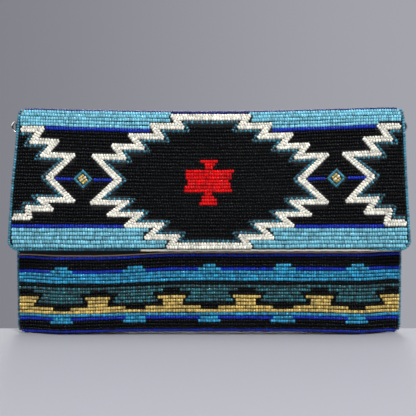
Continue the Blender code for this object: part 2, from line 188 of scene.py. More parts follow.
MM = 0.001

# ---- sizes, as the part has them
SEAM_Y = sum(corner[1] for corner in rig.box("side_seam_tape_left")) / 2  # front meets back
BODY_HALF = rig.box("back_bead_panel")[1][0]
BODY_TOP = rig.box("back_bead_panel")[1][2]
TOP_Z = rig.box("fold_bead_strip")[1][2]
FLAP_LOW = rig.box("flap_bead_panel")[0][2]
FOLD_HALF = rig.box("fold_bead_strip")[1][0] - 1.2 * MM
SNAP_Z = sum(corner[2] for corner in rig.box("snap_stud")) / 2
DEPTH_BASE, DEPTH_BELLY, DEPTH_TOP, DEPTH_SEAM = 9.5 * MM, 13.5 * MM, 6.4 * MM, 2.6 * MM
BULGE_FALL = 30 * MM  # the walls fall to the side seams over this width
FLARE_LOW = 119 * MM  # above this the back's sides open out to the straight fold
BASE_ROUND = 3 * MM
BOTTOM_CORNER, TOP_CORNER = 5 * MM, 3 * MM
BODY_TAPER, TAPER_START = 2.4 * MM, 55 * MM  # each side draws in towards the top
CENTRE_GAP = 0.3 * MM
FOLD_RADIUS = 4.5 * MM
FOLD_Z = TOP_Z - FOLD_RADIUS
BACK_FOLD_Y = SEAM_Y + DEPTH_TOP - FOLD_RADIUS
FRONT_FOLD_Y = SEAM_Y - 5.1 * MM
FLAP_LEAN = math.radians(8)
FLAP_FRONT_Y = SEAM_Y - 17.1 * MM
FLAP_REACH = 30 * MM
FLAP_HALF_TOP, FLAP_HALF_BOTTOM = 119.2 * MM, 125 * MM
FLAP_TOP_CORNER, FLAP_BOTTOM_CORNER = 9 * MM, 5 * MM
FLAP_CURL = 2 * MM

BEAD_RADIUS = 1.06 * MM
BEAD_LENGTH = 1.57 * MM
BEAD_PITCH = 1.59 * MM
BEAD_DEPTH = 0.98 * MM  # bead centres below the bead surface
GROUND_DEPTH, GROUND_THICK = 1.62 * MM, 0.24 * MM
ROW_RADIUS = FOLD_RADIUS - BEAD_DEPTH
random = np.random.default_rng(20)


def smooth(t):
    t = np.clip(t, 0.0, 1.0)
    return t * t * (3 - 2 * t)


def bezier(points, t):
    """Point at share t of the curve through control values, or control points."""
    points = [np.asarray(p, float) for p in points]
    t = np.asarray(t, float)[..., None] if points[0].ndim else np.asarray(t, float)
    while len(points) > 1:
        points = [a * (1 - t) + b * t for a, b in zip(points, points[1:])]
    return points[0]


def unit(vectors):
    return vectors / np.linalg.norm(vectors, axis=-1, keepdims=True)


def corner_cut(reach, radius):
    """How far a rounded corner pulls in the edge, where reach is how far into the corner z is."""
    reach = np.clip(reach, 0, radius)
    return radius - np.sqrt(radius**2 - reach**2)


# ---- surfaces

def body_half_width(z, s=None):
    low = corner_cut(BOTTOM_CORNER - z, BOTTOM_CORNER)
    taper = BODY_TAPER * np.maximum(z - TAPER_START, 0) / (BODY_TOP - TAPER_START)
    return BODY_HALF - taper - low - corner_cut(z - (BODY_TOP - TOP_CORNER), TOP_CORNER)


def flap_half_width(z, s):
    """Half the flap's width; over the front fold it narrows in a round corner to the fold's."""
    share = (z - FLAP_LOW) / (FLAP_START[1] - FLAP_LOW)
    half = FLAP_HALF_BOTTOM + (FLAP_HALF_TOP - FLAP_HALF_BOTTOM) * np.minimum(share, 1)
    half = half - corner_cut(FLAP_BOTTOM_CORNER - (FLAP_END - s), FLAP_BOTTOM_CORNER)
    over = np.clip((FLAP_TOP_CORNER - s) / FLAP_TOP_CORNER, 0, 1)
    return half - (FLAP_HALF_TOP - FOLD_HALF) * (1 - np.sqrt(1 - over**2))


def half_depth(x, z):
    """Half the pouch's depth at x and z, and how much the slope lengthens a step through it."""
    middle = bezier([DEPTH_BASE, DEPTH_BELLY, DEPTH_TOP], np.clip(z / BODY_TOP, 0, 1))
    inward = np.clip((BODY_HALF - np.abs(x)) / BULGE_FALL, 0, 1)
    depth = DEPTH_SEAM + (middle - DEPTH_SEAM) * smooth(inward)
    slope = (middle - DEPTH_SEAM) * 6 * inward * (1 - inward) / BULGE_FALL
    return depth, np.hypot(1.0, slope)


BASE_FLAT = DEPTH_BASE - BASE_ROUND - CENTRE_GAP
WALL_START = BASE_FLAT + BASE_ROUND * math.pi / 2
WALL_END = WALL_START + FOLD_Z - BASE_ROUND
BACK_FOLD_END = WALL_END + ROW_RADIUS * math.pi / 2


def wall_depth(side, x, z):
    """Half the depth of one wall; the back one leaves the seams to meet the fold."""
    half, stretch = half_depth(x, z)
    if side > 0:
        share = smooth((z - FLARE_LOW) / (FOLD_Z - FLARE_LOW))
        half = half + (half_depth(np.zeros_like(x), z)[0] - half) * share
    return half, stretch


def wall(side, depth):
    """The front (-1) or back (+1) of the pouch at some depth: base, edge, wall, and fold above."""
    radius = max(BASE_ROUND - depth, 0.3 * MM)
    fold_radius = FOLD_RADIUS - depth

    def place(x, s):
        x, s = np.broadcast_arrays(np.asarray(x, float), np.asarray(s, float))
        turn = np.clip((s - BASE_FLAT) / (WALL_START - BASE_FLAT), 0, 1) * math.pi / 2
        start = depth + radius
        wall_z = start + (s - WALL_START) * (FOLD_Z - start) / (WALL_END - WALL_START)
        z = np.where(s > WALL_START, wall_z, depth + radius * (1 - np.cos(turn)))
        half, stretch = wall_depth(side, x, np.where(s > WALL_START, wall_z, start))
        reach = np.maximum(half - depth * stretch, CENTRE_GAP + radius + 0.05 * MM)
        flat = CENTRE_GAP + (reach - radius - CENTRE_GAP) * np.clip(s / BASE_FLAT, -0.2, 1)
        y = np.where(s > WALL_START, reach, flat + radius * np.sin(turn))
        over = np.clip((s - WALL_END) / ROW_RADIUS, 0, math.pi / 2)
        top = wall_depth(side, x, np.full_like(x, FOLD_Z))[0] - depth
        past = np.maximum(s - BACK_FOLD_END, 0)
        above = s > WALL_END
        y = np.where(above, top - fold_radius * (1 - np.cos(over)) - past, y)
        z = np.where(above, FOLD_Z + fold_radius * np.sin(over), z)
        return np.stack([x, SEAM_Y + side * y, z], -1)

    return place


FLAP_START = np.array([
    FRONT_FOLD_Y - FOLD_RADIUS * math.cos(FLAP_LEAN), FOLD_Z + FOLD_RADIUS * math.sin(FLAP_LEAN)
])
FLAP_PROFILE = [
    FLAP_START,
    FLAP_START - FLAP_REACH * np.array([math.sin(FLAP_LEAN), math.cos(FLAP_LEAN)]),
    np.array([FLAP_FRONT_Y, FLAP_LOW + FLAP_REACH]),
    np.array([FLAP_FRONT_Y, FLAP_LOW]),
]
FRONT_TURN = math.pi / 2 - FLAP_LEAN
FRONT_ARC = ROW_RADIUS * FRONT_TURN
PROFILE_SHARES = np.linspace(0, 1.02, 500)
PROFILE = bezier(FLAP_PROFILE, PROFILE_SHARES)
PROFILE_STEPS = unit(np.gradient(PROFILE, axis=0))
PROFILE_LENGTHS = np.concatenate(
    [[0], np.cumsum(np.linalg.norm(np.diff(PROFILE, axis=0), axis=1))]
)
FLAP_LENGTH = float(np.interp(1.0, PROFILE_SHARES, PROFILE_LENGTHS))
FLAP_END = FRONT_ARC + FLAP_LENGTH


def flap(depth):
    """The flap at some depth: s is 0 where the front fold starts, and grows down the flap."""
    radius = FOLD_RADIUS - depth
    line = PROFILE + depth * np.stack([-PROFILE_STEPS[:, 1], PROFILE_STEPS[:, 0]], -1)

    def place(x, s):
        x, s = np.broadcast_arrays(np.asarray(x, float), np.asarray(s, float))
        turn = np.clip(s / ROW_RADIUS, 0, FRONT_TURN)
        y = FRONT_FOLD_Y - radius * np.sin(turn) + np.maximum(-s, 0)
        z = FOLD_Z + radius * np.cos(turn)
        hang_y = np.interp(s - FRONT_ARC, PROFILE_LENGTHS, line[:, 0])
        hang_z = np.interp(s - FRONT_ARC, PROFILE_LENGTHS, line[:, 1])
        freedom = smooth((FLAP_START[1] - hang_z) / FLAP_REACH)
        curl = FLAP_CURL * np.abs(x / FLAP_HALF_BOTTOM) ** 4 * freedom
        below = s > FRONT_ARC
        return np.stack([x, np.where(below, hang_y + curl, y), np.where(below, hang_z, z)], -1)

    return place


SAG, END_RISE, RIGHT_RISE = 1.5 * MM, 2.2 * MM, 0.9 * MM  # of the fold and what hangs below
SAG_REACH = 104 * MM  # from the middle to where the ends' rise is full
LIFT_BASE, LIFT_STRIP = 1.6 * MM, 2.2 * MM  # how far the lower front is drawn up


def bow(x, z):
    """The fold and the rows under it sag in the middle, and stand higher at the right."""
    ends = END_RISE * np.minimum(np.abs(x) / SAG_REACH, 1.05) ** 2
    rise = ends - SAG + RIGHT_RISE * smooth(x / (100 * MM))
    share = smooth((z - 62 * MM) / (50 * MM))
    return rise * share * (1 - 0.3 * smooth((z - 130 * MM) / (10 * MM)))


def lift(x, z):
    """The lower edge stands clear of the floor in the middle, and the strip is lower at the left."""
    low = LIFT_BASE * smooth((x + 110 * MM) / (70 * MM))
    low -= 1.3 * MM * smooth((x - 50 * MM) / (60 * MM))
    high = LIFT_STRIP * smooth((x + 75 * MM) / (60 * MM)) - 0.1 * MM
    share = smooth(z / (45 * MM))
    return (low * (1 - share) + high * share) * (1 - smooth((z - 58 * MM) / (40 * MM)))


RIPPLE = 0.22 * MM


def settle(points, hangs):
    """Hand-made unevenness; hangs is true for what hangs from the fold with the flap.

    With None nothing moves."""
    if hangs is None:
        return points
    x, z = points[..., 0], points[..., 2]
    moved = points.copy()
    if hangs:
        moved[..., 0] += 1.0 * MM * smooth((z - 85 * MM) / (50 * MM))
    moved[..., 2] += bow(x, z) + (0 if hangs else lift(x, z))
    wide = np.sin(x / (19 * MM) + 0.8) * np.sin(z / (23 * MM) + 0.4)
    ripple = wide + 0.6 * np.sin(x / (12 * MM) + z / (17 * MM))
    snap_calm = 1 - np.exp(-(x**2 + (z - SNAP_Z) ** 2) / (20 * MM) ** 2)
    inside = smooth((130 * MM - z) / (20 * MM)) * smooth((z - 4 * MM) / (20 * MM))
    moved[..., 1] += RIPPLE * ripple * snap_calm * inside
    return moved


# ---- materials

def principled(name, colour, roughness, **sockets):
    material = bpy.data.materials.new(name)
    material.use_nodes = True
    shader = material.node_tree.nodes["Principled BSDF"]
    shader.inputs["Base Color"].default_value = (*colour, 1)
    shader.inputs["Roughness"].default_value = roughness
    for socket, value in sockets.items():
        shader.inputs[socket.replace("_", " ")].default_value = value
    return material, shader


def add_node(tree, kind, sockets, output=0, **settings):
    """Adds a shader node, with a value or a link for each socket, and returns one output."""
    made = tree.nodes.new("ShaderNode" + kind)
    for name, value in settings.items():
        setattr(made, name, value)
    for socket, value in sockets.items():
        if isinstance(value, bpy.types.NodeSocket):
            tree.links.new(value, made.inputs[socket])
        else:
            made.inputs[socket].default_value = value
    return made.outputs[output]


def mix(tree, factor, a, b, **settings):
    """Adds a Mix node between two colours; its colour sockets are found by number."""
    return add_node(tree, "Mix", {"Factor": factor, 6: a, 7: b}, 2, data_type="RGBA", **settings)


BEAD_COLOURS = {
    "black": (0.0012, 0.0015, 0.0018),
    "blue": (0.005, 0.010, 0.130),
    "light_blue": (0.172, 0.480, 0.590),
    "cream": (0.760, 0.740, 0.640),
    "red": (0.640, 0.003, 0.005),
    "royal_blue": (0.002, 0.018, 0.330),
    "turquoise": (0.018, 0.250, 0.430),
    "teal": (0.010, 0.088, 0.104),
    "gold": (0.540, 0.385, 0.100),
    # painted shade: a darker copy of teal, put on every other bead of dotted lines so the beads between stand out as
    # highlight dots
    "deep_teal": (0.014, 0.045, 0.055),
    "edge_turquoise": (0.026, 0.185, 0.265),
}
TONE_CHANGE = 0.3  # how much a cloth's tone varies
BEAD_SHINE = {"black": (0.05, 0.26), "red": (0.15, 0.09), "royal_blue": (0.22, 0.18),
              "teal": (0.50, 0.40), "gold": (0.66, 0.28), "turquoise": (0.40, 0.20),
              "edge_turquoise": (0.48, 0.19), "deep_teal": (0.48, 0.19)}  # specular, coat
BEAD_TONES = ((0.72, 0.22), (0.92, 0.30), (1.08, 0.30), (1.28, 0.18))  # brightness, share
# Painted glints: these colours spread their random bead tones wider, so some beads stand much lighter and some darker.
# This is partly the beads' own spread of tone, and partly painted glints from their silver lining.
TONE_AND_GLINT_SPREAD = {"teal": 2.6, "gold": 1.4, "turquoise": 1.5, "edge_turquoise": 1.8}  # livelier


def bead_materials(colour):
    """Glass of one colour: beads of a batch differ a little in tone and polish; for some colours the spread of tone is
    widened to paint glints.
    """
    made = []
    specular, coat = BEAD_SHINE.get(colour, (0.30, 0.12))
    for i, (tone, _) in enumerate(BEAD_TONES):
        tone = tone ** TONE_AND_GLINT_SPREAD.get(colour, 1)
        shade = tuple(min(1.0, c * tone) for c in BEAD_COLOURS[colour])
        made.append(
            principled(
                f"{colour}_glass_{i}", shade, 0.34 - 0.03 * i,
                Specular_IOR_Level=specular, Coat_Weight=coat, Coat_Roughness=0.06, IOR=1.5,
            )[0]
        )
    return made


def woven(name, warp, weft, pitch, roughness, bump=0.3, sheer=0.0, specular=0.5):
    """Cloth with warp and weft threads from two crossed waves, and a slow change of tone."""
    material, shader = principled(name, warp, roughness, Specular_IOR_Level=specular)
    tree = material.node_tree
    place = add_node(tree, "TexCoord", {}, "Object")

    def wave(direction, distortion):
        sockets = {"Scale": 0.1 / pitch, "Distortion": distortion, "Detail": 1.0, "Vector": place}
        return add_node(tree, "TexWave", sockets, "Fac", wave_type="BANDS", bands_direction=direction)

    waves = {0: wave("X", 0.4 + sheer), 1: wave("Z", 0.4)}
    crossed = add_node(tree, "Math", waves, operation="MULTIPLY")
    noise = add_node(tree, "TexNoise", {"Scale": 90, "Detail": 4, "Vector": place}, "Color")
    threads = mix(tree, crossed, (*warp, 1), (*weft, 1))
    tone = mix(tree, TONE_CHANGE, threads, noise, blend_type="MULTIPLY")
    relief = add_node(tree, "Bump", {"Strength": bump, "Distance": 0.1 * MM, "Height": crossed})
    tree.links.new(tone, shader.inputs["Base Color"])
    tree.links.new(relief, shader.inputs["Normal"])
    return material


def metal(name, colour, roughness, scratch):
    """Plated steel with fine scratches in its polish and a little tarnish."""
    material, shader = principled(name, colour, roughness, Metallic=1.0)
    tree = material.node_tree
    place = add_node(tree, "TexCoord", {}, "Object")
    noise = add_node(tree, "TexNoise", {"Scale": 700, "Detail": 6, "Vector": place}, "Fac")
    smoothest = roughness * 0.6
    range_sockets = {"Value": noise, "To Min": smoothest, "To Max": smoothest + scratch}
    polish = add_node(tree, "MapRange", range_sockets)
    tarnish = mix(tree, noise, (*colour, 1), (*(c * 0.72 for c in colour), 1))
    tree.links.new(polish, shader.inputs["Roughness"])
    tree.links.new(tarnish, shader.inputs["Base Color"])
    return material


GLASS = {colour: bead_materials(colour) for colour in BEAD_COLOURS}
GROUND = woven("black_ground_cloth", (0.005, 0.005, 0.006), (0.012, 0.012, 0.014), 0.5 * MM, 0.9)
# Painted shade: this satin's near-black brown is partly its own dark tone and partly darkened to the shade it sits in
# under the flap's hem.
DARK_SATIN_AND_SHADE = woven("black_satin", (0.006, 0.0045, 0.003), (0.012, 0.009, 0.006), 0.25 * MM, 0.45,
              bump=0.15, sheer=1.2, specular=0.15)
LINING = woven("lining_satin", (0.012, 0.0095, 0.008), (0.030, 0.024, 0.020), 0.3 * MM, 0.42,
               bump=0.15, sheer=0.8, specular=0.25)
BUCKRAM = woven("cream_buckram", (0.62, 0.57, 0.46), (0.78, 0.74, 0.64), 0.8 * MM, 0.9, bump=0.6)
TAN_TAPE = woven("tan_tape", (0.34, 0.24, 0.15), (0.47, 0.36, 0.24), 0.45 * MM, 0.8, bump=0.5)
THREAD = woven("bead_thread", (0.02, 0.02, 0.025), (0.06, 0.06, 0.07), 0.12 * MM, 0.7)
STEEL = metal("nickel_plate", (0.62, 0.61, 0.59), 0.20, 0.16)
MAGNET = metal("dark_nickel", (0.24, 0.24, 0.25), 0.30, 0.20)
CLOTH_SLOTS = {GROUND: "thread", DARK_SATIN_AND_SHADE: "satin", LINING: "lining", BUCKRAM: "buckram",
               TAN_TAPE: "tan_tape"}

# ---- meshes

def mesh_object(name, points, quads, materials, slots=None, is_smooth=True):
    """An object from numpy points (n, 3) and quads (m, 4); slots gives each quad's material."""
    mesh = bpy.data.meshes.new(name)
    mesh.vertices.add(len(points))
    mesh.vertices.foreach_set("co", np.asarray(points, np.float32).ravel())
    mesh.loops.add(4 * len(quads))
    mesh.loops.foreach_set("vertex_index", np.asarray(quads, np.int32).ravel())
    mesh.polygons.add(len(quads))
    mesh.polygons.foreach_set("loop_start", np.arange(0, 4 * len(quads), 4, dtype=np.int32))
    if slots is not None:
        mesh.polygons.foreach_set("material_index", np.asarray(slots, np.int32))
    mesh.polygons.foreach_set("use_smooth", np.full(len(quads), is_smooth))
    for material in materials:
        mesh.materials.append(material)
    mesh.update(calc_edges=True)
    made = bpy.data.objects.new(name, mesh)
    bpy.context.scene.collection.objects.link(made)
    return made


def face_out(made, fill_ends=False):
    """Turns every face of a mesh outward, after closing its open ends."""
    shape = bmesh.new()
    shape.from_mesh(made.data)
    if fill_ends:
        bmesh.ops.holes_fill(shape, edges=[e for e in shape.edges if e.is_boundary], sides=0)
    bmesh.ops.recalc_face_normals(shape, faces=shape.faces)
    shape.to_mesh(made.data)
    shape.free()
    return made


BACK_BLEND = {
    "a": "pouch", "b": "fold",
    "start": (0, BACK_FOLD_Y + ROW_RADIUS, FOLD_Z), "end": (0, BACK_FOLD_Y, FOLD_Z + ROW_RADIUS),
}
FRONT_BLEND = {
    "a": "fold", "b": "flap",
    "start": (0, FRONT_FOLD_Y, FOLD_Z + ROW_RADIUS), "end": (0, FRONT_FOLD_Y - ROW_RADIUS, FOLD_Z),
}


def hold(made, body, slot, replaces=()):
    """Puts a piece on its body, or across two bodies, with its slot and the nodes it replaces."""
    if isinstance(body, dict):
        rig.blend(made, **body)
    else:
        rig.ride(made, body)
    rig.slot(made, slot)
    if replaces:
        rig.replaces(made, *replaces)
    return made


def tube_quads(rings, sides, closed=False):
    """Quads between each ring of a tube and the next one; closed joins the last to the first."""
    i, k = np.divmod(np.arange((rings if closed else rings - 1) * sides), sides)
    here, after, beside = i * sides, (i + 1) % rings * sides, (k + 1) % sides
    return np.stack([here + k, here + beside, after + beside, after + k], -1)


# One bead: a barrel with a hole, as rings of (share of length, share of radius).
BEAD_PROFILE = (
    (-0.50, 0.50), (-0.36, 0.83), (0.0, 1.0), (0.36, 0.83), (0.50, 0.50), (0.0, 0.32)
)
BEAD_SIDES = 8
BEAD_ANGLES = np.arange(BEAD_SIDES) * 2 * math.pi / BEAD_SIDES
BEAD_POINTS = np.array([
    (a, r * math.cos(t), r * math.sin(t)) for a, r in BEAD_PROFILE for t in BEAD_ANGLES
])
BEAD_QUADS = tube_quads(len(BEAD_PROFILE), BEAD_SIDES, closed=True)


def bead_axes(place, x, s, facing):
    """Centre, direction along the row, and outward normal of beads on a surface."""
    step = 0.2 * MM
    along = unit(place(x + step, s) - place(x - step, s))
    up = place(x, s + step) - place(x, s - step)
    return place(x, s), along, unit(np.cross(along, up) * facing)


def bead_mesh(name, centres, along, normal, colour, radius, length):
    """Strung beads of one colour as one piece, each a little uneven in size, place and tilt."""
    n = len(centres)
    along = unit(along + random.normal(0, 0.035, (n, 3)))
    side = unit(np.cross(along, normal))
    normal = np.cross(side, along)
    scale = random.normal(1, 0.03, n).clip(0.92, 1.07)
    long = length * random.normal(1, 0.035, n).clip(0.90, 1.04)
    wide = (radius * scale)[:, None, None]  # radius and length are one number, or one each
    points = (
        (centres + random.normal(0, 0.04 * MM, (n, 3)))[:, None, :]
        + BEAD_POINTS[None, :, 0:1] * long[:, None, None] * along[:, None, :]
        + BEAD_POINTS[None, :, 1:2] * wide * normal[:, None, :]
        + BEAD_POINTS[None, :, 2:3] * wide * side[:, None, :]
    )
    quads = BEAD_QUADS[None] + (np.arange(n) * len(BEAD_POINTS))[:, None, None]
    tones = random.choice(len(BEAD_TONES), n, p=[share for _, share in BEAD_TONES])
    return mesh_object(
        name, points.reshape(-1, 3), quads.reshape(-1, 4), GLASS[colour],
        np.repeat(tones, len(BEAD_QUADS)),
    )


def row_half(place, half_width, s, end_gap):
    """Half the length of the row of beads at s."""
    return float(half_width(place(np.array([0.0]), np.array([s]))[0][2], s)) - end_gap


def row_beads(half, s):
    """Evenly strung bead positions along one row between the side seams."""
    count = max(int(2 * half / BEAD_PITCH), 2)
    slack = 2 * half - count * BEAD_PITCH
    x = -half + BEAD_PITCH * (np.arange(count) + 0.5) + slack * random.uniform(0.2, 0.8)
    return x + random.normal(0, 0.05 * MM, count), np.full(count, s)


# ---- the pattern
BEAD_STEP = 1.9 * MM  # one bead across in the pattern's outlines
ROW_STEP = 2.1 * MM  # one row up

COLOUR_NAMES = list(BEAD_COLOURS)
(BLACK, BLUE, LIGHT_BLUE, CREAM, RED, ROYAL, TURQUOISE, TEAL, GOLD, SHADED_TEAL, EDGE) = range(11)
CREAM_BEAD = 1.07  # the outlines' beads are a little bigger

# Outlines as (beads from the middle, rows above the hem): stepped bars, a waist, stepped bars.
MEDALLION = (
    (0, 40.1), (12, 40.1), (10, 37.5), (19, 37.5), (16.6, 34.4), (26, 34.4), (22.9, 31.2),
    (31.5, 31.2), (28.8, 28.0), (37.8, 28.0), (30, 21.2), (38, 14.3), (27.5, 14.3), (32.5, 10.7),
    (22.9, 10.7), (26.8, 7.4), (16, 7.4), (20.2, 3.8), (10.8, 3.8), (12.9, 1.2), (0, 1.2),
)
LEFT_MEDALLION = (
    (75, 35.6), (56, 35.6), (58.5, 32), (51, 32), (54.8, 28), (45.6, 28), (52.9, 21.3),
    (45.4, 14.8), (55.4, 14.8), (52.5, 12.2), (59.7, 12.2), (59.5, 9.7), (75, 9.7),
)
RIGHT_MEDALLION = (
    (75, 36), (56, 36), (58.8, 32.3), (51.3, 32.3), (55.2, 28), (44.6, 28), (53.3, 21.2),
    (46, 14.6), (54.8, 14.6), (52, 11.2), (59.3, 11.2), (58.5, 7.9), (75, 7.9),
)
DIAMOND_AT, DIAMOND_ROW = 41.7, 21.2
DIAMOND_HALF = 5.1 * MM  # half the diagonal of its outline
DIAMOND_BEAD, GOLD_BEAD = 0.82, 0.86  # their beads' size beside the others
STROKE_GAP = 1.14 * MM  # each of the stroke's two strands from the outline


def distance_to(line, u, row, closed):
    """Distance in rows from each (u, row) to an outline, and whether it is inside."""
    points = [np.array([a * BEAD_STEP / ROW_STEP, b]) for a, b in line]
    p = np.stack([u * BEAD_STEP / ROW_STEP, row], -1)
    nearest = np.full(u.shape, 1e9)
    inside = np.zeros(u.shape, bool)
    for i, a in enumerate(points):
        b = points[(i + 1) % len(points)]
        if closed or i + 1 < len(points):
            ab = b - a
            t = np.clip(((p - a) @ ab) / (ab @ ab), 0, 1)
            nearest = np.minimum(nearest, np.linalg.norm(p - a - t[..., None] * ab, axis=-1))
        crosses = (a[1] > p[..., 1]) != (b[1] > p[..., 1])
        at = a[0] + (p[..., 1] - a[1]) / (b[1] - a[1] + 1e-12) * (b[0] - a[0])
        inside ^= crosses & (p[..., 0] < at)
    return nearest, inside


# Each outline with the side it is on, and whether it closes.
OUTLINES = (
    (LEFT_MEDALLION, -1, False), (RIGHT_MEDALLION, 1, False),
    (MEDALLION[:-1] + tuple((-a, b) for a, b in MEDALLION[:0:-1]), 1, True),
)


def paint_flap(x, row, index):
    """Colour of each flap bead, row rows above the hem."""
    u = x / BEAD_STEP
    colour = np.full(u.shape, BLACK)
    colour[(row > 36.6) | (row < 6.5)] = LIGHT_BLUE
    colour[(np.abs(row - 36.1) < 0.5) | (np.abs(row - 7) < 0.5)] = ROYAL
    colour[row > 41.6] = BLUE
    colour[row > 43.5] = BLACK
    between = (np.abs(u) > 31.5) & (np.abs(u) < 53.5)
    colour[between & (np.abs(row - DIAMOND_ROW) < 0.5)] = ROYAL
    for line, side, closed in OUTLINES:
        colour[distance_to(line, side * u, row, closed)[1]] = BLACK
    cross_half = np.interp(
        row,
        [13, 13.9, 14, 15.4, 17.3, 17.6, 20.5, 21.5, 24.3, 24.6, 26.2, 27.4, 27.6],
        [0, 0, 2.9, 2.3, 1.4, 8.2, 6.9, 6.9, 8.1, 1.4, 1.6, 3.0, 0],
    )
    colour[(np.abs(u + 0.3) < cross_half) & (row > 13.5) & (row < 27.5)] = RED
    return colour


def clear_of_outlines(x, s):
    """True for row beads that leave room for the strands along the outlines."""
    u = x / BEAD_STEP
    free = np.ones(x.shape, bool)
    row = (FLAP_END + ROW_STEP / 2 - s) / ROW_STEP
    for line, side, closed in OUTLINES:
        near, inside = distance_to(line, side * u, row, closed)
        free &= near > np.where(inside, 2.2, 1.33)
    reach = np.abs(np.abs(u) - DIAMOND_AT) * BEAD_STEP + np.abs(row - DIAMOND_ROW) * ROW_STEP
    return free & (reach > DIAMOND_HALF + 1.9 * MM)


def parallel(points, offset, closed):
    """A line beside a line of (x, h) points, with its corners mitred."""
    points = np.asarray(points, float)
    ahead = unit(np.roll(points, -1, axis=0) - points)
    behind = np.roll(ahead, 1, axis=0)
    if not closed:
        ahead[-1], behind[0] = ahead[-2], ahead[0]
        behind[-1] = ahead[-2]
    square, before = (np.stack([-way[:, 1], way[:, 0]], -1) for way in (ahead, behind))
    middle = unit(square + before)
    share = np.maximum(np.sum(middle * square, axis=1, keepdims=True), 0.5)
    return points + middle * offset / share


def string_line(points, closed, pitch, corners):
    """Beads laid end to end along each stretch of a line. Returns centres and directions.

    With corners, one bead sits on each corner, and the others are laid out from it."""
    points = np.asarray(points, float)
    ends = np.roll(points, -1, axis=0) if closed else points[1:]
    centres, ways = [], []
    for a, b in zip(points, ends):
        long = np.linalg.norm(b - a)
        count = max(int(round(long / pitch)), 1)
        at = (np.arange(count)[:, None] + (0 if corners else 0.5)) / count
        centres.append(a + (b - a) * at)
        ways.append(np.repeat(((b - a) / long)[None], count, 0))
    return np.concatenate(centres), np.concatenate(ways)


def outline_strands():
    """Beads along the outlines: (x, h), direction, colour, size and how deep each one sits.

    h is the height above the hem."""
    found = []

    def add(points, closed, colour, dots=None, size=1.0, sink=0.0, corners=False):
        centres, ways = string_line(points, closed, size * BEAD_PITCH, corners)
        colours = np.full(len(centres), colour)
        if dots is not None:
            colours[1::2] = dots
        found.append((centres, ways, colours, np.full(len(centres), size),
                      np.full(len(centres), sink)))

    for line, side, closed in OUTLINES:
        base = [(side * a * BEAD_STEP, (b - 0.5) * ROW_STEP) for a, b in line]
        inward = -1 if closed else side
        add(base, closed, CREAM, size=0.95, sink=0.25 * MM, corners=True)
        # The outer strand's every other bead is the darker copy of teal: painted shade between highlight dots.
        for offset, colour, dots, size in (
            (-STROKE_GAP, CREAM, None, CREAM_BEAD), (STROKE_GAP, CREAM, None, CREAM_BEAD),
            (2.82 * STROKE_GAP, EDGE, SHADED_TEAL, 0.95)
        ):
            add(parallel(base, inward * offset, closed), closed, colour, dots, size)
    for side in (-1, 1):
        centre = np.array([side * DIAMOND_AT * BEAD_STEP, (DIAMOND_ROW - 0.5) * ROW_STEP])
        corners = [centre + DIAMOND_HALF * np.array(c) for c in ((1, 0), (0, 1), (-1, 0), (0, -1))]
        add(corners, True, EDGE, size=DIAMOND_BEAD, corners=True)
        way = np.array([1.0, 0.8]) / math.hypot(1.0, 0.8)
        across = np.array([way[1], -way[0]])
        for k, reach in ((-1, 2.0 * MM), (0, 2.4 * MM), (1, 2.0 * MM)):
            middle = centre + across * k * 1.85 * MM
            # Every other bead of the middle gold strand is cream: partly a cream stripe in the pattern, partly painted
            # highlights on the gold beads.
            add([middle - way * reach, middle + way * reach], False, GOLD,
                CREAM if k == 0 else None, GOLD_BEAD)
    return [np.concatenate(part) for part in zip(*found)]


BAND_PERIOD = 47 * MM
BAND_ROWS = 23


def paint_bands(x, row, index):
    """Colour of each bead in the banded strip, row rows above its lowest one."""
    bump = np.abs((x + BAND_PERIOD / 2) % BAND_PERIOD - BAND_PERIOD / 2) / MM
    step = BAND_PERIOD / 2 / MM - bump
    n = BAND_ROWS - row  # counted from the top, as the bands are read
    colour = np.full(x.shape, BLACK)
    colour[(n == 1) | (n == 5) | (n == 19) | (n == 23)] = ROYAL
    colour[(n >= 6) & (n <= 8) | (n == 18)] = TURQUOISE
    for at, half in ((4, 4.4), (5, 7.2), (19, 6.1), (20, 7.2)):
        colour[(n == at) & (bump <= half)] = TURQUOISE
    # painted shade: every other bead of this row is the darker copy of teal, so the teal beads between read as
    # highlight dots
    colour = np.where(n == 10, np.where(index % 2 == 0, TEAL, SHADED_TEAL), colour)
    colour[(n == 11) & (step > 5.3)] = TEAL
    for at, half in ((12, 11.6), (13, 13.2), (14, 14.5)):
        colour[(n == at) & (bump <= half)] = TEAL
    for at, half in ((13, 8.5), (14, 6.6), (15, 6.0), (16, 17.5), (17, 30)):
        colour[(n == at) & (step <= half)] = GOLD
    return colour

# ---- beads

def row_wave(x):
    """Hand stitching lets each row wander a little up and down."""
    wave = np.zeros_like(x)
    for length, height in ((0.11, 0.10 * MM), (0.041, 0.09 * MM), (0.017, 0.05 * MM)):
        wave += height * np.sin(x / length * 2 * math.pi + random.uniform(0, 2 * math.pi))
    return wave


FULL_BEAD = {RED: 1.08, GOLD: 1.04, ROYAL: 1.06, TURQUOISE: 1.04, TEAL: 1.02}


def string_rows(rows, paint, place, facing, half_width, end_gap, hangs, clear=None):
    """All beads of a panel: rows is a list of (row number, s). Returns arrays for each bead.

    clear says which beads keep their place, where others are strung along the outlines."""
    found = []
    for number, s in rows:
        x, at = row_beads(row_half(place, half_width, s, end_gap), s)
        centres, along, normal = bead_axes(place, x, at, facing)
        index = np.round(x / BEAD_PITCH).astype(int)
        number = np.full(x.shape, number)
        colour = paint(x, number, index)
        up = np.cross(normal, along)
        centres = settle(centres, hangs) + up * row_wave(x)[:, None]
        free = np.ones(x.shape, bool) if clear is None else clear(x, at)
        size = np.ones(x.shape)
        for code, full in FULL_BEAD.items():
            size[colour == code] = full
        if clear is not None:
            size[colour == LIGHT_BLUE] = np.where(number[0] < 7, 1.27, 1.12)
            size[(colour == ROYAL) & (np.abs(number - DIAMOND_ROW) > 1)] = 1.18
        found.append([part[free] for part in (centres, along, normal, colour, size)])
    return [np.concatenate(part) for part in zip(*found)]


MOST_BEADS = 2000


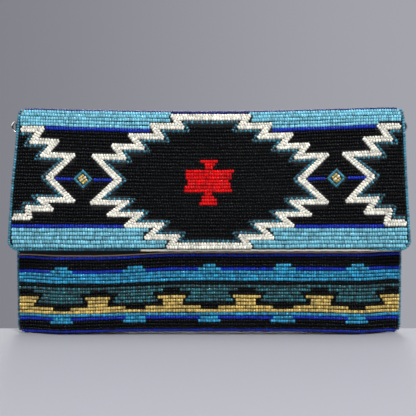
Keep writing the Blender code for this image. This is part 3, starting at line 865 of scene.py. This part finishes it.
def bead_pieces(prefix, beads, body, replaces):
    """Pieces of one colour each, none too big to export whole."""
    centres, along, normal, colour, size = beads
    for code in range(len(COLOUR_NAMES)):
        picked = np.flatnonzero(colour == code)
        parts = math.ceil(len(picked) / MOST_BEADS)
        for part in range(parts):
            some = picked[part * MOST_BEADS:(part + 1) * MOST_BEADS]
            name = f"{prefix}_{COLOUR_NAMES[code]}" + (f"_{part + 1}" if parts > 1 else "")
            made = bead_mesh(name, centres[some], along[some], normal[some], COLOUR_NAMES[code],
                             size[some] * BEAD_RADIUS,
                             np.minimum(size[some], 1.04) * BEAD_LENGTH)
            slot = COLOUR_NAMES[code].replace("deep_", "").replace("edge_", "")
            hold(made, body, slot + "_beads", replaces)


def strand(name, rows, body, place, facing, half_width, end_gap, hangs):
    """The thread that runs through every row of a panel: a square tube in each row."""
    steps, sides = 40, 4
    points, quads = [], []
    angles = np.arange(sides) * math.pi / 2
    for n, (_, s) in enumerate(rows):
        half = row_half(place, half_width, s, end_gap) + 0.3 * MM
        x = np.linspace(-half, half, steps)
        centres, along, normal = bead_axes(place, x, np.full(steps, s), facing)
        side = np.cross(along, normal)
        ring = settle(centres, hangs)[:, None, :] + THREAD_RADIUS * (
            np.cos(angles)[None, :, None] * normal[:, None, :]
            + np.sin(angles)[None, :, None] * side[:, None, :]
        )
        points.append(ring.reshape(-1, 3))
        last = (steps - 1) * sides
        ends = np.array([[3, 2, 1, 0], [last, last + 1, last + 2, last + 3]])
        quads += [n * steps * sides + part for part in (tube_quads(steps, sides), ends)]
    made = mesh_object(name, np.concatenate(points), np.concatenate(quads), [THREAD])
    return hold(made, body, "thread")


THREAD_RADIUS = 0.30 * MM
TRIM_OUT = 1.0 * MM  # the edge trim's bead line, out from the flap's edge
FLAP_END_GAP = -0.1 * MM  # from the flap's side edge to the end of its bead rows
WALL_END_GAP = -0.2 * MM
LOWEST_WALL_ROW = BASE_FLAT + 2.6 * MM  # on the rounded lower edge
WALL_PITCH = 2.2 * MM

HEM_ROWS, HEM_STEP = 5, 2.52 * MM  # the light blue rows at the hem have bigger beads
flap_heights = [(k + 0.5) * HEM_STEP for k in range(HEM_ROWS)]
flap_heights.append(flap_heights[-1] + 2.42 * MM)
for count in (28, 11):
    flap_heights += [flap_heights[-1] + 2.2 * MM + k * ROW_STEP for k in range(count)]
flap_row_s = [(h / ROW_STEP + 0.5, FLAP_END - h) for h in flap_heights]
hanging_rows = [r for r in flap_row_s if r[1] > FRONT_ARC]
front_arc_rows = [r for r in flap_row_s if 0 < r[1] <= FRONT_ARC]
fold_depth = BACK_FOLD_Y - FRONT_FOLD_Y
top_rows = [r for r in flap_row_s if -fold_depth + 0.3 * MM < r[1] <= 0]


def fold_half_width(z, s=None):
    return FOLD_HALF


# A panel of bead rows: its surface, which way it faces, how far the rows reach, and settling.
bead_flap = flap(BEAD_DEPTH)
FLAP_PANEL = {"place": bead_flap, "facing": -1, "half_width": flap_half_width,
              "end_gap": FLAP_END_GAP, "hangs": True}
FOLD_PANEL = {**FLAP_PANEL, "half_width": fold_half_width, "end_gap": WALL_END_GAP}
FRONT_PANEL = {"place": wall(-1, BEAD_DEPTH), "facing": 1, "half_width": body_half_width,
               "end_gap": WALL_END_GAP, "hangs": False}
BACK_PANEL = {**FRONT_PANEL, "place": wall(1, BEAD_DEPTH), "facing": -1}

flap_row_beads, front_arc_beads = (
    string_rows(rows, paint_flap, **FLAP_PANEL, clear=clear_of_outlines)
    for rows in (hanging_rows, front_arc_rows)
)
spots, ways, strand_colours, strand_sizes, strand_sinks = outline_strands()
strand_x, strand_s = spots[:, 0], FLAP_END - spots[:, 1]
strand_at, along_x, strand_normal = bead_axes(bead_flap, strand_x, strand_s, -1)
up_flap = np.cross(strand_normal, along_x)
strand_along = along_x * ways[:, :1] + up_flap * ways[:, 1:]
strand_at = settle(strand_at, True) - strand_normal * strand_sinks[:, None]
strands = [strand_at, strand_along, strand_normal, strand_colours, strand_sizes]
inside_edge = np.abs(strand_x) < flap_half_width(strand_at[:, 2], strand_s) - 0.6 * MM
on_flap = inside_edge & (strand_s > FRONT_ARC)
on_arc = inside_edge & (strand_s <= FRONT_ARC)


def joined(rows, chosen):
    return [np.concatenate([a, b[chosen]]) for a, b in zip(rows, strands)]


bead_pieces("flap_beads", joined(flap_row_beads, on_flap), "flap", ["flap_bead_panel"])
bead_pieces("front_fold_beads", joined(front_arc_beads, on_arc), FRONT_BLEND, ["fold_bead_strip"])
bead_pieces("top_fold_beads", string_rows(top_rows, paint_flap, **FOLD_PANEL), "fold",
            ["fold_bead_strip"])


def wall_rows(first, end):
    return [(n, LOWEST_WALL_ROW + n * WALL_PITCH) for n in range(first, end)]


BACK_ROWS = int((WALL_END - LOWEST_WALL_ROW) / WALL_PITCH)
front_rows, back_rows = wall_rows(-4, BAND_ROWS), wall_rows(-4, BACK_ROWS + 1)
back_arc_rows = [
    row for row in wall_rows(BACK_ROWS + 1, BACK_ROWS + 5) if row[1] < BACK_FOLD_END + 0.6 * MM
]


def paint_back(x, row, index):
    """The bands at the bottom and, upside down, at the top; a blue line with diamonds between."""
    n = row[0]
    if n < BAND_ROWS:
        return paint_bands(x, row, index)
    if n > BACK_ROWS - BAND_ROWS:
        return paint_bands(x, BACK_ROWS - row, index)
    colour = np.full(x.shape, BLACK)
    middle = BACK_ROWS // 2
    if n == middle:
        colour[:] = ROYAL
    away = np.abs((x + BAND_PERIOD / 2) % BAND_PERIOD - BAND_PERIOD / 2) / BEAD_STEP
    reach = away + abs(n - middle)
    colour[reach < 5.4] = TURQUOISE
    stripes = np.where((index + n) % 3 == 0, CREAM, GOLD)
    return np.where(reach < 3.6, stripes, colour)


def paint_black(x, row, index):
    return np.full(x.shape, BLACK)


bead_pieces("front_beads", string_rows(front_rows, paint_bands, **FRONT_PANEL), "pouch",
            ["front_bead_strip"])
bead_pieces("back_beads", string_rows(back_rows, paint_back, **BACK_PANEL), "pouch",
            ["back_bead_panel"])
back_arc_beads = string_rows(
    back_arc_rows, paint_black, **{**BACK_PANEL, "half_width": fold_half_width}
)
bead_pieces("back_fold_beads", back_arc_beads, BACK_BLEND, ["fold_bead_strip"])
strand("flap_row_threads", hanging_rows, "flap", **FLAP_PANEL)
strand("front_row_threads", front_rows, "pouch", **FRONT_PANEL)
strand("back_row_threads", back_rows, "pouch", **BACK_PANEL)


def string_along(name, path, normal, body, replaces, radius):
    """Edge beads strung end to end along a path of points, all with one normal."""
    path = np.asarray(path, float)
    steps = np.linalg.norm(np.diff(path, axis=0), axis=1)
    run = np.concatenate([[0], np.cumsum(steps)])
    count = int(run[-1] / (BEAD_LENGTH * 1.03))
    at = (np.arange(count) + 0.5) * run[-1] / count

    def read(where):
        return np.stack([np.interp(where, run, path[:, k]) for k in range(3)], -1)

    along = unit(read(at + 0.3 * MM) - read(at - 0.3 * MM))
    made = bead_mesh(name, read(at), along, np.tile(normal, (count, 1)), "edge_turquoise", radius,
                     BEAD_LENGTH)
    return hold(made, body, "turquoise_beads", replaces)


def flap_edge(first, last, count=400):
    """The trim's line along the flap's right edge, from s = first to last."""
    s = np.linspace(first, min(last, FLAP_END - FLAP_BOTTOM_CORNER), count)
    half = flap_half_width(bead_flap(np.zeros(count), s)[:, 2], s) + TRIM_OUT
    if last < FLAP_END:
        return half, s
    reach = FLAP_BOTTOM_CORNER + TRIM_OUT
    turn = np.linspace(0, math.pi / 2, 40)[1:]
    centre = FLAP_HALF_BOTTOM - FLAP_BOTTOM_CORNER
    return (
        np.concatenate([half, centre + reach * np.cos(turn)]),
        np.concatenate([s, FLAP_END - FLAP_BOTTOM_CORNER + reach * np.sin(turn)]),
    )


def trim_beads(name, x, s, body, replaces):
    string_along(name, settle(bead_flap(x, s), True), (0.0, -1.0, 0.0), body, replaces, 0.98 * MM)


SIDES = (("left", -1), ("right", 1))
edge_x, edge_s = flap_edge(FRONT_ARC, FLAP_END)
trim_beads("flap_edge_beads", np.concatenate([edge_x, -edge_x[::-1]]),
           np.concatenate([edge_s, edge_s[::-1]]), "flap", ["flap_edge_trim"])
arc_x, arc_s = flap_edge(1.2 * MM, FRONT_ARC, 40)
for side, sign in SIDES:
    trim_beads(f"front_fold_edge_beads_{side}", sign * arc_x, arc_s, FRONT_BLEND,
               ["fold_bead_strip"])

for side, sign in SIDES:
    trim_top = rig.box(f"side_bead_trim_{side}")[1][2] - 0.6 * MM  # stays clear of the ring
    z = np.linspace(1.6 * MM, trim_top, 300)
    x = sign * (body_half_width(z) + 0.8 * MM)
    path = settle(np.stack([x, np.full(300, SEAM_Y - 0.2 * MM), z], -1), False)
    string_along(f"side_beads_{side}", path, (sign, 0.0, 0.0), "pouch",
                 [f"side_bead_trim_{side}"], 1.05 * MM)


def ribbon(name, section, path, material, body, replaces, hangs=False):
    """A binding: a closed section of (sideways, outward) offsets carried along a path.

    path is a list of (point, sideways direction, outward direction)."""
    points = [
        np.asarray(p) + a * np.asarray(u) + b * np.asarray(v)
        for p, u, v in path for a, b in section
    ]
    points = settle(np.array(points), hangs)
    quads = tube_quads(len(path), len(section))
    made = face_out(mesh_object(name, points, quads, [material]), fill_ends=True)
    return hold(made, body, CLOTH_SLOTS[material], replaces)


# ---- cloth

def layer(name, place_at, depth, thickness, half_width, s_range, material, body,
          replaces=(), hangs=False, held="stretched", down=60, inset=0.4 * MM, detail=None,
          with_pieces=(), narrow=False):
    """Cloth between two depths of a surface, closed all round.

    It is declared as a sheet, unless it is narrow and goes with another one."""
    across = 90
    outer, inner = place_at(depth), place_at(depth + thickness)
    s = np.linspace(*s_range, down)
    middle = outer(np.zeros(down), s)
    half = np.array([float(half_width(z, h)) for z, h in zip(middle[:, 2], s)]) - inset
    share = np.linspace(-1, 1, across)
    x = half[:, None] * np.sign(share) * np.abs(share) ** 0.85
    grid_s = np.repeat(s[:, None], across, 1)
    face, rear = outer(x, grid_s), inner(x, grid_s)
    if detail is not None:
        moved = detail(x, grid_s)
        face, rear = face + moved, rear + moved
    area = float(np.sum(
        np.linalg.norm(np.diff(face, axis=1)[:-1], axis=-1)
        * np.linalg.norm(np.diff(face, axis=0)[:, :-1], axis=-1)
    ))
    points = np.concatenate([settle(part, hangs).reshape(-1, 3) for part in (face, rear)])
    i, k = np.meshgrid(np.arange(down - 1), np.arange(across - 1), indexing="ij")
    a = (i * across + k).ravel()
    front = np.stack([a, a + 1, a + across + 1, a + across], -1)
    back = front[:, ::-1] + down * across
    border = np.concatenate([
        np.arange(across), across * np.arange(1, down) + across - 1,
        (down - 1) * across + np.arange(across - 2, -1, -1), across * np.arange(down - 2, 0, -1),
    ])
    following = np.roll(border, -1)
    rim = np.stack([following, border, border + down * across, following + down * across], -1)
    made = face_out(mesh_object(name, points, np.concatenate([front, back, rim]), [material]))
    hold(made, body, CLOTH_SLOTS[material], replaces)
    run = float(np.sum(np.linalg.norm(np.diff(middle, axis=0), axis=1)))
    if not narrow:
        width = max(2 * float(half.max()), area / run)
        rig.sheet(made, flat=(width, run), held=held, rests_on=[], area=area,
                 with_pieces=list(with_pieces))
    return made


def front_at(depth):
    return wall(-1, depth)


def back_at(depth):
    return wall(1, depth)


def stitched(pitch, height):
    """Slight puckers between rows of couching stitches."""
    def detail(x, s):
        moved = np.zeros(x.shape + (3,))
        moved[..., 1] = height * np.sin(x / pitch * 2 * math.pi) * np.sin(s / pitch * math.pi)
        return moved
    return detail


strip_top_s = LOWEST_WALL_ROW + (BAND_ROWS - 1) * WALL_PITCH + 1.2 * MM
mouth_s = WALL_START + BODY_TOP - BASE_ROUND


def over_fold(kind, depth, thickness, material, replaced):
    """A layer's strips over the mouth: round the front fold, across, and round the back fold."""
    return [
        layer(f"{part}_fold_{kind}", place_at, depth, thickness, half_width, span, material, body,
              [replaced], hangs, down=down, narrow=True)
        for part, place_at, half_width, span, body, hangs, down in (
            ("front", flap, flap_half_width, (0, FRONT_ARC), FRONT_BLEND, True, 12),
            ("top", flap, fold_half_width, (-fold_depth, 0), "fold", True, 8),
            ("back", back_at, fold_half_width, (WALL_END, BACK_FOLD_END), BACK_BLEND, False, 12),
        )
    ]


ground_over_fold = over_fold("ground_cloth", GROUND_DEPTH, GROUND_THICK, GROUND,
                             "fold_bead_strip")
layer("flap_ground_cloth", flap, GROUND_DEPTH, GROUND_THICK, flap_half_width,
      (FRONT_ARC, FLAP_END), GROUND, "flap", ["flap_bead_panel"], True, "folded",
      with_pieces=ground_over_fold, inset=-0.6 * MM)
layer("back_ground_cloth", back_at, GROUND_DEPTH, GROUND_THICK, body_half_width,
      (0, WALL_END), GROUND, "pouch", ["back_bead_panel"], inset=0)
layer("front_ground_cloth", front_at, GROUND_DEPTH, GROUND_THICK, body_half_width,
      (0, strip_top_s - 0.2 * MM), GROUND, "pouch", ["front_bead_strip"], inset=0)
strip_tape = layer(
    "front_strip_tape", front_at, 0.25 * MM, 0.7 * MM, body_half_width,
    (strip_top_s + 0.1 * MM, strip_top_s + 0.8 * MM), TAN_TAPE, "pouch",
    ["front_strip_binding"], down=6, narrow=True,
)
# Where it shows under the flap's hem, this satin's near-black colour includes painted shade.
layer("front_satin_panel_cloth", front_at, 1.0 * MM, 0.5 * MM, body_half_width,
      (strip_top_s - 0.4 * MM, mouth_s), DARK_SATIN_AND_SHADE, "pouch", ["front_satin_panel"],
      with_pieces=[strip_tape])
layer("flap_buckram", flap, 1.95 * MM, 0.8 * MM, flap_half_width, (FRONT_ARC, FLAP_END - 1 * MM),
      BUCKRAM, "flap", ["flap_stiffener"], True, inset=1.6 * MM)
# Painted highlight: a cream strip of the stiffener's buckram under the flap's hem, from left of the middle to the
# right end. Its light colour is partly the buckram's own cream and partly stands in for light caught by the satin's
# top edge there.
hem_x = np.linspace(-43 * MM, 115 * MM, 120)
hem_at = flap(1.9 * MM)(hem_x, np.full(120, FLAP_END + TRIM_OUT + 0.7 * MM))
HEM_SECTION = [(-0.5 * MM, -0.42 * MM), (0.5 * MM, -0.42 * MM), (0.6 * MM, 0.1 * MM),
               (0.5 * MM, 0.8 * MM), (-0.5 * MM, 0.8 * MM), (-0.6 * MM, 0.1 * MM)]
ribbon("flap_hem_tape", HEM_SECTION,
       [(p + np.array([0, 0, 0.08 * MM * math.sin(p[0] / (1.4 * MM))]), (0, 1, 0), (0, 0, 1))
        for p in hem_at],
       BUCKRAM, "flap", ["flap_stiffener"], hangs=True)
lining_over_fold = over_fold("lining", 1.95 * MM, 0.7 * MM, LINING, "fold_lining")
layer("flap_lining_cloth", flap, 3.0 * MM, 0.5 * MM, flap_half_width, (FRONT_ARC, FLAP_END),
      LINING, "flap", ["flap_lining"], True, "folded",
      detail=stitched(9 * MM, 0.05 * MM), with_pieces=lining_over_fold)
for side, place_at in (("front", front_at), ("back", back_at)):
    layer(f"{side}_buckram", place_at, 1.95 * MM, 1.1 * MM, body_half_width,
          (0.3 * MM, mouth_s - 0.4 * MM), BUCKRAM, "pouch", [f"{side}_stiffener"],
          inset=9 * MM)
    layer(f"{side}_lining_cloth", place_at, 3.4 * MM, 0.5 * MM, body_half_width,
          (0.5 * MM, mouth_s), LINING, "pouch", [f"{side}_lining"],
          held="hung", inset=3.0 * MM, detail=stitched(11 * MM, 0.06 * MM))
pocket_low, pocket_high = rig.box("slip_pocket")
layer("slip_pocket_cloth", back_at, 4.2 * MM, 0.4 * MM, lambda z, s: pocket_high[0],
      (WALL_START + pocket_low[2] - BASE_ROUND, WALL_START + pocket_high[2] - BASE_ROUND),
      LINING, "pouch", ["slip_pocket"], inset=0,
      detail=stitched(13 * MM, 0.07 * MM))


RING_X = 121.4 * MM  # the ring's bar, in its loop
SEAM_TAPE_HALF = 2.75 * MM
LOOP, BORE, LEG = 1.5 * MM, 1.05 * MM, 0.5 * MM  # the loop outside and inside, and its legs


for side, sign, near in (("front", -1, 1.0 * MM), ("back", 1, 0.0)):
    low, high = (np.array(c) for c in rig.box(f"{side}_mouth_binding"))
    mouth_half = float(body_half_width(BODY_TOP)) - 0.5 * MM
    x = np.linspace(-mouth_half, mouth_half, 200)
    reach = wall_depth(sign, x, np.full(200, high[2]))[0]
    far = np.minimum(3.9 * MM, reach - 0.35 * MM)  # the two tapes stay apart at the seams
    centre_y = SEAM_Y + sign * (reach - (near + far) / 2) + 0.05 * MM * np.sin(x / (1.1 * MM))
    half = float(far.max() - near) / 2
    narrow = (far - near) / (2 * half)
    tall = high[2] - low[2]
    section = [(-half, -0.5 * tall), (half, -0.5 * tall), (half, 0.1 * tall),
               (0.8 * half, 0.45 * tall), (0, 0.55 * tall), (-0.8 * half, 0.45 * tall),
               (-half, 0.1 * tall)]
    path = [
        ((px, py, low[2] + tall / 2), (0, k, 0), (0, 0, 1))
        for px, py, k in zip(x, centre_y, narrow)
    ]
    ribbon(f"{side}_mouth_tape", section, path, DARK_SATIN_AND_SHADE, "pouch",
           [f"{side}_mouth_binding"])

for side, sign in SIDES:
    low, high = (np.array(c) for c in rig.box(f"side_seam_tape_{side}"))
    centre, reach = (low + high) / 2, (high - low) / 2
    z = np.linspace(low[2], high[2], 90)
    pucker = 0.10 * MM * np.sin(z / (1.6 * MM))
    a, b = SEAM_TAPE_HALF, reach[1] - 0.1 * MM
    path = [
        ((sign * (body_half_width(h) - 0.4 * MM - a), centre[1] + p, h), (1, 0, 0), (0, 1, 0))
        for h, p in zip(z, pucker)
    ]
    section = [(a, 0.6 * b), (0.8 * a, b), (-0.8 * a, b), (-a, 0.6 * b),
               (-a, -0.6 * b), (-0.8 * a, -b), (0.8 * a, -b), (a, -0.6 * b)]
    ribbon(f"side_seam_cloth_{side}", section, path, DARK_SATIN_AND_SHADE, "pouch",
           [f"side_seam_tape_{side}"])

    low, high = (np.array(c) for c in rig.box(f"ring_tab_{side}"))
    z = np.linspace(low[2], high[2], 12)
    ring_x = sign * RING_X
    tail = abs(ring_x) - min(abs(low[0]), abs(high[0]))
    bend = np.radians(np.linspace(-130, 130, 15))
    outer = [(-tail, -LEG)] + [(LOOP * math.cos(t), LOOP * math.sin(t)) for t in bend]
    inner = [(-tail, 0.1 * LEG)] + [(BORE * math.cos(t), -BORE * math.sin(t)) for t in bend]
    section = [
        (sign * a, b) for a, b in outer + [(-tail, LEG)] + inner + [(-tail, -0.1 * LEG)]
    ]
    path = [((ring_x, SEAM_Y + 0.04 * MM * math.sin(h / (0.4 * MM)), h), (1, 0, 0), (0, 1, 0))
            for h in z]
    ribbon(f"ring_loop_{side}", section, path, DARK_SATIN_AND_SHADE, "pouch", [f"ring_tab_{side}"],
           hangs=None)

# ---- hardware
for name, node in frame["nodes"].items():
    if name.startswith(("strap_ring", "snap_")):
        material = MAGNET if name == "snap_magnet" else STEEL
        node.data.materials.clear()
        node.data.materials.append(material)

# ---- stage, light and camera
FLOOR_FRONT, FLOOR_BACK, FLOOR_HALF = -1.6, 0.022, 1.5


def stage_floor():
    """A pale table top that ends close behind the purse."""
    steps = 24
    drop = 6 * MM
    profile = [(FLOOR_FRONT, -0.0002), (FLOOR_BACK - drop, -0.0002)]
    profile += [
        (FLOOR_BACK - drop + drop * math.sin(t), -0.0002 - drop + drop * math.cos(t))
        for t in np.linspace(0, math.pi / 2, steps)[1:]
    ]
    profile += [(FLOOR_BACK, -0.05), (FLOOR_FRONT, -0.05)]
    n = len(profile)
    points = [(x, y, z) for x in (-FLOOR_HALF, FLOOR_HALF) for y, z in profile]
    quads = [(i, i + n, (i + 1) % n + n, (i + 1) % n) for i in range(n)]
    material = principled("studio_paper", (0.37, 0.37, 0.40), 0.6)[0]
    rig.stage(mesh_object("studio_floor", points, quads, [material], is_smooth=False))


stage_floor()

scene = bpy.context.scene
world = bpy.data.worlds.new("studio")
scene.world = world
world.use_nodes = True

def studio_wall():
    """Soft studio light all round, a little darker at the left than at the right."""
    tree = world.node_tree
    place = add_node(tree, "TexCoord", {}, "Generated")
    x = add_node(tree, "SeparateXYZ", {0: place}, "X")
    share = add_node(tree, "MapRange", {"Value": x, "From Min": -0.26, "From Max": 0.22},
                     interpolation_type="SMOOTHSTEP")
    tone = mix(tree, share, (0.215, 0.215, 0.248, 1), (0.375, 0.375, 0.420, 1))
    tree.links.new(tone, tree.nodes["Background"].inputs["Color"])
    tree.nodes["Background"].inputs["Strength"].default_value = 1.0


studio_wall()
scene.view_settings.view_transform = "Standard"


def area_light(name, place, target, size, power, colour=(1, 1, 1)):
    data = bpy.data.lights.new(name, "AREA")
    data.shape, data.size, data.energy, data.color = "DISK", size, power, colour
    made = bpy.data.objects.new(name, data)
    made.location = place
    made.rotation_euler = (Vector(target) - Vector(place)).to_track_quat("-Z", "Y").to_euler()
    scene.collection.objects.link(made)


area_light("key", (0.28, -0.80, 0.95), (0, 0, 0.07), 0.30, 12)
area_light("fill", (-0.75, -0.8, 0.45), (0, 0, 0.07), 0.7, 2.5)
area_light("top", (0.0, 0.0, 1.1), (0, 0.05, 0.05), 0.6, 5)
area_light("rear", (0.0, 0.85, 0.30), (0, 0.02, 0.08), 0.5, 3.5)

CAMERA_DISTANCE = 0.70
CAMERA_ELEVATION = math.radians(5)
FIELD = 0.2592  # width of what the camera sees at the flap
AIM = Vector((-0.0008, -0.014, 0.0818))
camera_data = bpy.data.cameras.new("camera")
camera = bpy.data.objects.new("camera", camera_data)
scene.collection.objects.link(camera)
camera_data.sensor_width = 36
camera_data.lens = 36 / 2 / (FIELD / 2 / CAMERA_DISTANCE)
camera_data.clip_start, camera_data.clip_end = 0.05, 20
back = Vector((0, -math.cos(CAMERA_ELEVATION), math.sin(CAMERA_ELEVATION)))
camera.location = AIM + back * CAMERA_DISTANCE
camera.rotation_euler = (-back).to_track_quat("-Z", "Y").to_euler()
scene.camera = camera

# ---- size and finish
bounds = {"cad": CAD_BOUNDS, "visual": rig.bounds()}
with open("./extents.json", "w") as size_file:
    json.dump({k: [list(corner) for corner in v] for k, v in bounds.items()}, size_file)
